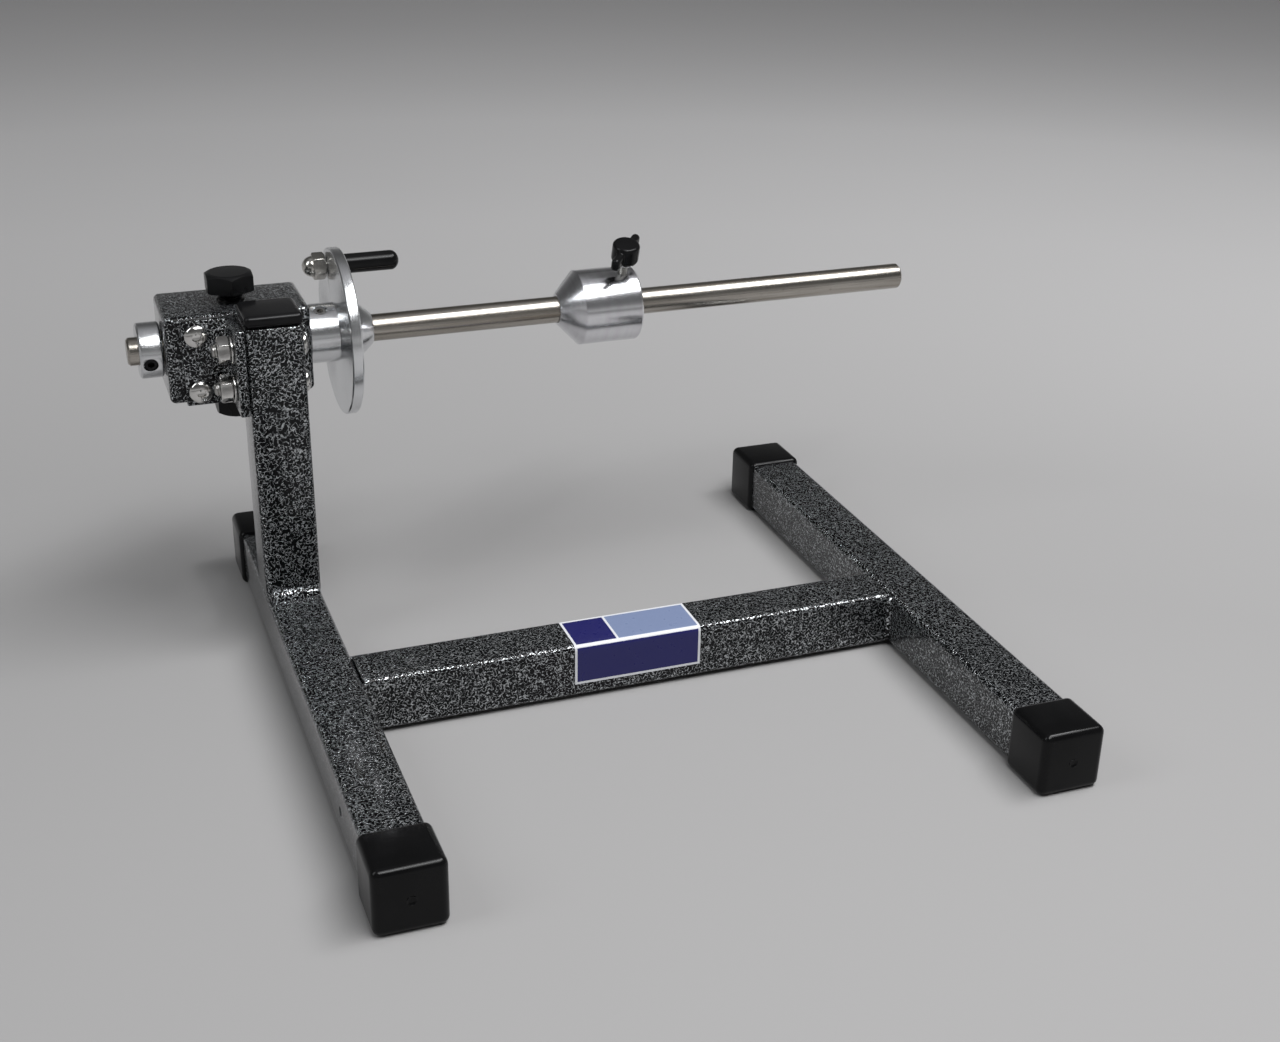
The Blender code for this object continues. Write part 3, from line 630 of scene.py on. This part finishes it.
# ------------------------------------------------------------------ vinyl caps and plug
for node in ("foot_cap_front_left", "foot_cap_rear_left", "foot_cap_front_right", "foot_cap_rear_right"):
    lo, hi = bx(node)
    c = (lo + hi) / 2
    sgn = -1 if c.y < 0 else 1
    size = hi - lo
    cap = rbox(node + "_cup", size, c, 3.4, 7)
    # the cup is pulled in a little behind its closed end and flares into a soft lip
    for v in cap.data.vertices:
        p = v.co / MM
        d = (p.y * sgn + size.y / 2) / size.y          # 0 at the open lip, 1 at the closed end
        k = 1 - 0.006 * math.exp(-((d - 0.35) / 0.2) ** 2)
        v.co.x, v.co.z = v.co.x * k, v.co.z * k if p.z > 0 else v.co.z
    sub = TUBE + 0.3
    pocket = prism("pocket_tool", rounded([(-sub / 2, -sub / 2), (sub / 2, -sub / 2), (sub / 2, sub / 2), (-sub / 2, sub / 2)],
                                          2.6, 6, True), -size.y / 2 - 3, size.y / 2 - 1.6, c, "Y" if sgn > 0 else "-Y")
    y = hi.y if sgn > 0 else lo.y
    dim = lathe("dimple_tool", [(0, 1.5), (2.6, 1.5), (2.1, 0.0), (1.3, -0.55), (0, -0.65)], (c.x, y, c.z),
                "Y" if sgn > 0 else "-Y", 40, 0.5)
    cut(cap, [pocket, dim], smooth=40)
    dress(cap, M_VINYL, "frame", "vinyl", node)

lo, hi = bx("post_plug")
top = rbox("post_plug_head", (hi.x - lo.x, hi.y - lo.y, 5.8), ((lo.x + hi.x) / 2, (lo.y + hi.y) / 2, hi.z - 2.9), 2.5, 8)
dress(top, M_PLUG, "frame", "gloss_plastic", "post_plug")

# ------------------------------------------------------------------ brake housing
HC = (H_LO + H_HI) / 2
house = rbox("brake_housing_block", H_HI - H_LO, HC, 2.6, 7)
cut(house, [lathe("bore_tool", [(0, 60), (9.0, 60), (9.0, -60), (0, -60)], HC, "X", 64),
            lathe("brake_tool", [(0, 40), (6.25, 40), (6.25, -40), (0, -40)], (BRAKE_X, SY, SZ), "Z", 64)])
dress(house, M_HEAD, "frame", "hammertone", "brake_housing")


def bracket(node, sign, flange_len):
    T = 4.3
    lo, hi = bx(node)
    face = LEFT_X + sign * (TUBE / 2 + GAP)
    y0 = HOUSE_FRONT - GAP
    leg = TUBE + 0.2
    fr = min(3.8, flange_len - T - 0.8)
    out = [(0, 0), (flange_len, 0), (flange_len, -T), (T, -T), (T, -leg), (0, -leg)]
    if sign < 0:
        out = [(-x, y) for x, y in reversed(out)]
    rad = {0: 0.6, 1: 0.8, 2: 0.8, 3: fr, 4: 0.8, 5: 0.8}
    radii = [rad[i] for i in range(6)]
    if sign < 0:
        radii = list(reversed(radii))
    o = prism(node + "_iron", [(face + p[0], y0 + p[1]) for p in rounded(out, radii, 6, True)], lo.z, hi.z, (0, 0, 0))
    bevel(o, 0.5, 3, 60)
    tools = [lathe("t", [(0, 20), (3.4, 20), (3.4, -20), (0, -20)], (face, mid("post_bolt_lower").y, mid(n).z), "X", 40)
             for n in ("post_bolt_lower", "post_bolt_upper")]
    if sign < 0:
        tools += [lathe("t", [(0, 12), (2.8, 12), (2.8, -12), (0, -12)], (SCREW_X, y0, mid(n).z), "Y", 40)
                  for n in ("housing_screw_lower", "housing_screw_upper")]
    cut(o, tools)
    return dress(o, M_HEAD, "frame", "hammertone", node)


bl_lo, bl_hi = bx("angle_bracket")
bracket("angle_bracket", -1, LEFT_X - TUBE / 2 - GAP - bl_lo.x)


# ------------------------------------------------------------------ fasteners
def dome(r, h, lip=0.7, n=8, base=0.0):
    return [(r * math.cos(math.radians(a)) if a < 90 else 0.0, base + lip + (h - lip) * math.sin(math.radians(a)))
            for a in [90 - 90 * k / n for k in range(n + 1)]]


for node in ("housing_screw_upper", "housing_screw_lower"):
    z = mid(node).z
    seat = HOUSE_FRONT - GAP - 4.3 - 0.15
    prof = dome(5.2, 3.0) + [(5.2, 0.0), (2.4, 0.0), (2.4, -11.4), (1.9, -12.0), (0, -12.0)]
    o = lathe(node + "_button", prof, (SCREW_X, seat, z), "-Y", 64)
    cut(o, [prism("sock", hexa(3.7), 0.5, 5, (SCREW_X, seat, z), "-Y", random.random())])
    bevel(o, 0.12, 2, 50)
    dress(o, M_STAIN, "frame", "stainless", node)

LEG_OUT = TUBE / 2 + GAP + 4.3
for label in ("lower", "upper"):
    z, y = mid("post_bolt_" + label).z, mid("post_bolt_" + label).y
    c = (LEFT_X, y, z)
    o = lathe("post_washer_%s_ring" % label, [(6.4, LEG_OUT + 1.3), (6.4, LEG_OUT + 0.2), (3.3, LEG_OUT + 0.2), (3.3, LEG_OUT + 1.3)],
              c, "-X", 64, 0.25)
    dress(o, M_STAIN, "frame", "stainless", "post_washer_" + label)
    n0, n1 = LEG_OUT + 1.5, LEG_OUT + 6.9
    o = prism("post_nut_%s_hex" % label, hexa(11.1), n0, n1, c, "-X", math.radians(8))
    cut(o, [lathe("l", [(0, n1), (5.3, n1), (6.7, n1 - 0.9), (6.7, n0 + 0.9), (5.3, n0), (0, n0)], c, "-X", 64)], "INTERSECT")
    cut(o, [lathe("h", [(0, 40), (3.35, 40), (3.35, 0), (0, 0)], c, "-X", 48)])
    bevel(o, 0.15, 2, 40)
    dress(o, M_STAIN, "frame", "stainless", "post_nut_" + label)
    seat, tip = TUBE / 2 + 0.2, LEG_OUT + 9.0
    head = lathe("post_bolt_%s_head" % label, dome(5.2, 3.1, base=seat) + [(5.2, seat), (2.9, seat), (2.9, -LEG_OUT), (0, -LEG_OUT)],
                 c, "X", 64)
    cut(head, [prism("s", hexa(4.0), seat + 1.1, seat + 6, c, "X", 0.4)])
    bevel(head, 0.12, 2, 50)
    dress(head, M_STAIN, "frame", "stainless", "post_bolt_" + label)
    th = thread("post_bolt_%s_thread" % label, 2.98, 0.42, 1.27, LEG_OUT - 1, tip, c, "-X")
    dress(th, M_ZINC, "frame", "stainless", "post_bolt_" + label)

for node, axis in (("upper_tension_bolt", "Z"), ("lower_tension_bolt", "-Z")):
    c = (BRAKE_X, SY, SZ)
    h0 = (H_HI.z - H_LO.z) / 2 + 4.7
    h1 = h0 + 8.4
    o = prism(node + "_head", hexa(20.4), h0, h1, c, axis, math.radians(29))
    r = 20.4 / math.sqrt(3)
    cut(o, [lathe("l", [(0, h1), (8.7, h1), (9.8, h1 - 0.3), (r + 0.05, h1 - 1.6), (r + 0.05, h0 + 0.4), (r - 0.7, h0), (0, h0)],
                  c, axis, 96, 0.4)], "INTERSECT")
    bevel(o, 0.35, 3, 30)
    dress(o, M_NYLON, node, "nylon", node)
    th = thread(node + "_thread", 5.85, 0.62, 1.954, SHAFT_R + 6.5, h0 + 1.0, c, axis, 64)
    dress(th, M_NYLON, node, "nylon", node)

# ------------------------------------------------------------------ spindle and what turns with it
o = lathe("spindle_rod", [(0, SH_HI.x), (SHAFT_R, SH_HI.x), (SHAFT_R, SH_LO.x), (0, SH_LO.x)], (0, SY, SZ), "X", 128)
bm = None
bpy.data.objects.remove(o, do_unlink=True)
L = SH_HI.x - SH_LO.x
prof = [(0, L), (SHAFT_R - 1.0, L)] + [(SHAFT_R, L - 1.0)] + [(SHAFT_R, L * (23 - k) / 23) for k in range(1, 23)] + \
       [(SHAFT_R, 1.0), (SHAFT_R - 1.0, 0), (0, 0)]
o = lathe("spindle_rod", prof, (SH_LO.x, SY, SZ), "X", 128, [0, 0.35, 0.35] + [0] * 22 + [0.35, 0.35, 0], 3)
dress(o, M_STEEL, "spindle", "steel", "spindle")


def ring(node, name, od, screw_x, ang, sr, mat, grooves=()):
    lo, hi = bx(node)
    w = hi.x - lo.x
    r = od / 2
    prof = [(SHAFT_R + FIT, w), (r - 0.8, w), (r, w - 0.8), (r, 0.8), (r - 0.8, 0.0), (SHAFT_R + FIT, 0.0)]
    o = lathe(name, prof, (lo.x, SY, SZ), "X", 128, 0.25)
    u = Vector((0, math.cos(math.radians(ang)), math.sin(math.radians(ang))))
    cut(o, [lathe("t", [(0, 40), (sr + 0.2, 40), (sr + 0.2, 0), (0, 0)], (screw_x, SY, SZ), u, 48)])
    bevel(o, 0.18, 2, 50)
    return dress(o, mat, "spindle", "aluminium", node)


LX = LEFT_X
ls, hs = mid("left_set_screw"), mid("hub_set_screw")
la = math.degrees(math.atan2(ls.z - SZ, ls.y - SY))
cl_lo, cl_hi = bx("left_collar")
ring("left_collar", "left_collar_ring", cl_hi.z - cl_lo.z, ls.x, la, 3.0, M_ALU)

# drive disk: hub against the housing, faced disk and conical boss turned in one piece
D_LO, D_HI = bx("drive_disk")
DR = (D_HI.z - D_LO.z) / 2
T = 5.2
HUBL = D_HI.x - D_LO.x - T - 11.6
DISK_X = D_LO.x + HUBL
RC = 13.7
b0 = SHAFT_R + FIT
f0 = HUBL + T
prof = [(b0, f0 + 11.6), (7.2, f0 + 11.6), (RC, f0 + 4.2), (RC, f0), (DR - 0.6, f0), (DR, f0 - 0.6), (DR, HUBL + 0.6),
        (DR - 0.6, HUBL), (RC, HUBL), (RC, 0.6), (RC - 0.6, 0.0), (b0, 0.0)]
o = lathe("drive_disk_plate", prof, (D_LO.x, SY, SZ), "X", 192, [0.2, 0.4, 0.4, 0.3, 0.2, 0.25, 0.25, 0.2, 0.3, 0.25, 0.25, 0.2])


def radial(deg):
    return Vector((0, math.cos(math.radians(deg)), math.sin(math.radians(deg))))


HUB_X = LX + 27.1
cut(o, [lathe("p", [(0, 30), (3.1, 30), (3.1, -10), (0, -10)], (DISK_X - 2, PIN_Y, PIN_Z), "X", 48),
        lathe("t", [(0, 40), (3.35, 40), (3.35, 13.45), (2.9, 12.9), (2.9, 0), (0, 0)], (HUB_X, SY, SZ), radial(111.0), 48),
        lathe("h", [(0, 30), (0.85, 30), (0.85, 8), (0, 8)], (LX + 32.7, SY, SZ), radial(113.5), 24)])
bevel(o, 0.12, 2, 50)
dress(o, M_ALU_DISK, "spindle", "aluminium", "drive_disk")

nc = (DISK_X - 0.3, PIN_Y, PIN_Z)
o = prism("drive_pin_acorn", hexa(11.1), 0.0, 6.0, nc, "-X", math.radians(15))
cut(o, [lathe("l", [(0, 6.0), (5.35, 6.0), (6.75, 5.2), (6.75, 0.9), (5.35, 0), (0, 0)], nc, "-X", 64)], "INTERSECT")
cut(o, [lathe("d", [(4.8 * math.cos(math.radians(a)) if a < 90 else 0.0, 6.0 + 4.6 * math.sin(math.radians(a)))
                    for a in [90 - 9 * k for k in range(11)]] + [(4.8, 4.4), (0, 4.4)], nc, "-X", 64)], "UNION")
bevel(o, 0.15, 2, 40)
dress(o, M_STAINW, "spindle", "stainless", "drive_pin_acorn_nut")

lo, hi = bx("drive_pin_sleeve")
s1 = hi.x - lo.x
prof = [(4.6 * math.cos(math.radians(a)) if a < 90 else 0.0, s1 - 3.9 + 3.9 * math.sin(math.radians(a)))
        for a in [90 - 9 * k for k in range(11)]] + [(4.6, 0.4), (4.2, 0), (3.1, 0), (3.1, 21.0), (0, 21.0)]
dress(lathe("drive_pin_grip", prof, (lo.x, PIN_Y, PIN_Z), "X", 64), M_PLUG, "spindle", "gloss_plastic", "drive_pin_sleeve")

# ------------------------------------------------------------------ clamp cone and wing screw
K_LO, K_HI = bx("clamp_cone")
KR = (K_HI.z - K_LO.z) / 2
cl = K_HI.x - K_LO.x
cs = 10.0
cb = SHAFT_R + 0.09
pad_lo, pad_hi = bx("clamp_pad")
WX = (pad_lo.x + pad_hi.x) / 2
WA = math.radians(108.0)
U = Vector((0.0, math.cos(WA), math.sin(WA)))
WC = Vector((WX, SY, SZ))
o = lathe("clamp_cone_body", [(cb, cl), (KR - 1.0, cl), (KR, cl - 1.0), (KR, cs), (7.3, 0.0), (cb, 0.0)],
          (K_LO.x, SY, SZ), "X", 192, [0.3, 0.25, 0.25, 0.3, 0.35, 0.3])
cut(o, [lathe("t", [(0, 40), (2.45, 40), (2.45, 0), (0, 0)], WC, U, 48)])
bevel(o, 0.15, 2, 50)
dress(o, M_CONE, "clamp_cone", "aluminium", "clamp_cone")

th = thread("wing_screw_thread", 2.1, 0.33, 1.058, SHAFT_R + 3.5, 29.5, WC, U, 40)
dress(th, M_ZINC, "wing_screw", "steel", "wing_screw_stud")
hub = lathe("wing_knob_grip", [(0, 34.8), (5.6, 34.8), (6.6, 33.8), (6.6, 26.4), (5.6, 24.6), (0, 24.6)], WC, U, 72, [0, 1.2, 1.2, 1.0, 0.8, 0], 5)
base = Vector((1, 0, 0))
tang = U.cross(base).normalized()
if tang.y < 0:
    tang = -tang
wd = base * math.cos(math.radians(49)) + tang * math.sin(math.radians(49))
blades = []
for sgn in (1, -1):
    d = wd * sgn
    w = rbox("blade", (11.6, 4.2, 6.6), (0, 0, 0), 2.0, 6)
    side = U.cross(d).normalized()
    rot = Matrix((d, side, U)).transposed()
    w.matrix_world = Matrix.Translation((WC + U * 29.6 + d * 8.6) * MM) @ rot.to_4x4()
    blades.append(w)
cut(hub, blades, "UNION")
rm = hub.modifiers.new("r", "REMESH")
rm.mode = "VOXEL"
rm.voxel_size = 0.00028
sm = hub.modifiers.new("s", "SMOOTH")
sm.factor = 0.5
sm.iterations = 8
bake(hub, 60)
cut(hub, [lathe("t", [(0, 29.9), (2.4, 29.9), (2.4, 0), (0, 0)], WC, U, 40)])
dress(hub, M_KNOB, "wing_screw", "nylon", "wing_knob")

# ------------------------------------------------------------------ carried-over CAD nodes: hidden or tiny pieces
for node, mat in (("bushing_left", M_BRONZE), ("bushing_right", M_BRONZE), ("upper_brake_shoe", M_BRONZE),
                  ("lower_brake_shoe", M_BRONZE), ("clamp_pad", M_BRONZE), ("left_set_screw", M_BLACK),
                  ("hub_set_screw", M_STAIN), ("drive_pin_stud", M_STAIN)):
    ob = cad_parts[node]
    if not ob.material_slots:
        ob.data.materials.append(mat)
    for s in ob.material_slots:
        s.material = mat

# ------------------------------------------------------------------ blank label wrapped over the cross member's front edge
def label():
    off = 0.16
    r = 2.6 + off
    t = TUBE / 2 + off
    path = []
    yb, zt = CROSS.y + TUBE / 2 - 2.2, TUBE_Z + t
    yf = CROSS.y - t
    zb = TUBE_Z - TUBE / 2 + 6.3
    path += [Vector((yb - (yb - (yf + r)) * k / 8, zt)) for k in range(8)]
    path += [Vector((yf + r - r * math.sin(math.radians(a)), zt - r + r * math.cos(math.radians(a)))) for a in range(0, 91, 10)]
    path += [Vector((yf, zt - r - (zt - r - zb) * k / 8)) for k in range(1, 9)]
    s = [0.0]
    for a, b in zip(path, path[1:]):
        s.append(s[-1] + (b - a).length)
    total = s[-1]

    def at(q):
        for i in range(len(path) - 1):
            if q <= s[i + 1] + 1e-9:
                return path[i].lerp(path[i + 1], (q - s[i]) / (s[i + 1] - s[i]))
        return path[-1]
    x0, x1 = LEFT_X + 107.0, LEFT_X + 166.7
    fold = s[8] + 1.9
    bw = 1.1
    rows = sorted(set([0.0, bw, fold - 0.9, fold + 0.9, total - bw, total] + [q for q in s if all(abs(q - z) > 0.12 for z in (0, bw, fold - 0.9, fold + 0.9, total - bw, total))]))
    split = x0 + 20.5
    cols = sorted([x0, x0 + bw, split - 0.55, split + 0.55, x1 - bw, x1] + [x0 + 3.5 + 4.7 * k for k in range(12) if abs(x0 + 3.5 + 4.7 * k - split) > 1.2 and x0 + 3.5 + 4.7 * k < x1 - 1.6])
    bm = bmesh.new()
    th = 0.09
    nrm = []
    for i, q in enumerate(rows):
        a, b = at(max(0, q - 0.15)), at(min(total, q + 0.15))
        d = (b - a).normalized()
        nrm.append(Vector((d.y, -d.x)) * (-1))
    grid = []
    for layer in (1, 0):
        g = []
        for i, q in enumerate(rows):
            p = at(q) + nrm[i] * (-th * (1 - layer)) * (1 if nrm[i].dot(at(q) - Vector((CROSS.y, TUBE_Z))) > 0 else -1)
            g.append([bm.verts.new((x * MM, p.x * MM, p.y * MM)) for x in cols])
        grid.append(g)
    mats = {}
    for layer in (0, 1):
        for i in range(len(rows) - 1):
            qm = (rows[i] + rows[i + 1]) / 2
            for j in range(len(cols) - 1):
                xm = (cols[j] + cols[j + 1]) / 2
                g = grid[layer]
                f = bm.faces.new((g[i][j], g[i][j + 1], g[i + 1][j + 1], g[i + 1][j]))
                edge = qm < bw or qm > total - bw or xm < x0 + bw or xm > x1 - bw or abs(qm - fold) < 0.9
                if layer or edge:
                    f.material_index = 0
                elif qm > fold:
                    f.material_index = 1
                elif abs(xm - split) < 0.55:
                    f.material_index = 0
                else:
                    f.material_index = 1 if xm < split else 2
    a, b = grid
    R, C = len(rows), len(cols)
    for i in range(R - 1):
        for j in (0, C - 1):
            bm.faces.new((a[i][j], a[i + 1][j], b[i + 1][j], b[i][j]))
    for j in range(C - 1):
        for i in (0, R - 1):
            bm.faces.new((a[i][j], a[i][j + 1], b[i][j + 1], b[i][j]))
    o = from_bm("blank_label", bm, 30)
    for mm in (sticker("label_white", (0.74, 0.75, 0.78)), sticker("label_navy", (0.010, 0.010, 0.105)),
               sticker("label_slate", (0.20, 0.25, 0.40))):
        o.data.materials.append(mm)
    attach(o, "frame")
    return o


label()

# ------------------------------------------------------------------ set: floor, light, camera
bm = bmesh.new()
bmesh.ops.create_circle(bm, cap_ends=True, segments=96, radius=14.0)
floor = from_bm("floor", bm, 0)
fm = Mat("paper_floor")
mott = fm.noise(fm.coord(), 1.6, 3.0)
# painted light and shade: the paper colour is painted darker round the stand and paler towards the back, standing in
# for how the soft light falls across the floor
far = fm.n("VectorMath", operation="DISTANCE", ins={0: fm.coord(), 1: (-0.2425, -0.668, 0.0)}).outputs["Value"]
painted_light_tone = fm.ramp(fm.math("DIVIDE", far, 3.0),
               [(0.0, (0.38, 0.373, 0.371)), (0.272, (0.37, 0.363, 0.361)), (0.322, (0.405, 0.398, 0.396)),
                (0.381, (0.49, 0.482, 0.480)), (0.492, (0.66, 0.65, 0.648)), (0.623, (0.80, 0.79, 0.788)),
                (0.84, (0.78, 0.77, 0.77))])
fm.set(Base_Color=fm.mixrgb(fm.math("MULTIPLY", mott, 0.12), painted_light_tone, (0.30, 0.295, 0.293)), Roughness=0.75,
       Normal=fm.bump(fm.noise(fm.coord(), 900, 2.0), 0.05, 0.0001))
floor.data.materials.append(fm.m)
floor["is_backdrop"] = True


def area(name, loc, target, size, power, color=(1, 1, 1)):
    d = bpy.data.lights.new(name, "AREA")
    d.shape = "RECTANGLE"
    d.size, d.size_y = size
    d.energy = power
    d.color = color
    o = link(bpy.data.objects.new(name, d))
    o.location = loc
    o.rotation_mode = "QUATERNION"
    o.rotation_quaternion = (Vector(target) - Vector(loc)).to_track_quat("-Z", "Y")
    return o


area("softbox_top", (0.36, -0.42, 1.25), (0.0, 0.05, 0.05), (1.45, 0.66), 16.0, (0.985, 0.99, 1.0))
area("strip_top", (0.36, -0.41, 1.22), (0.0, 0.05, 0.05), (1.40, 0.10), 6.5, (0.97, 0.985, 1.0))
area("softbox_left", (-1.15, -0.10, 1.05), (-0.3, 0.1, 0.0), (0.5, 0.9), 4.5, (0.95, 0.98, 1.0))

world = bpy.data.worlds.new("studio")
bpy.context.scene.world = world
world.use_nodes = True
wn = world.node_tree
bg = wn.nodes["Background"]
tc = wn.nodes.new("ShaderNodeTexCoord")
sx = wn.nodes.new("ShaderNodeSeparateXYZ")
wn.links.new(tc.outputs["Generated"], sx.inputs[0])
rp = wn.nodes.new("ShaderNodeValToRGB")
el = rp.color_ramp.elements
el[0].position, el[0].color = 0.0, (0.42, 0.42, 0.42, 1)
el[1].position, el[1].color = 1.0, (0.30, 0.30, 0.31, 1)
for p, c in ((0.06, 0.40), (0.20, 0.14), (0.55, 0.06), (0.8, 0.12)):
    e = el.new(p)
    e.color = (c, c, c, 1)
wn.links.new(sx.outputs[2], rp.inputs[0])
wn.links.new(rp.outputs[0], bg.inputs[0])
bg.inputs[1].default_value = 1.0

cam = bpy.data.cameras.new("camera")
cam.sensor_width = 36.0
cam.sensor_fit = "HORIZONTAL"
cam.lens = 49.4498
cam.clip_start, cam.clip_end = 0.01, 100.0
co = link(bpy.data.objects.new("camera", cam))
co.location = (-0.24250, -0.66783, 0.40388)
co.rotation_euler = (1.1350887, -0.0162168, -0.3566247)
bpy.context.scene.camera = co
bpy.context.scene.view_settings.view_transform = "Standard"
bpy.context.scene.view_settings.look = "None"

lo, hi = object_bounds()
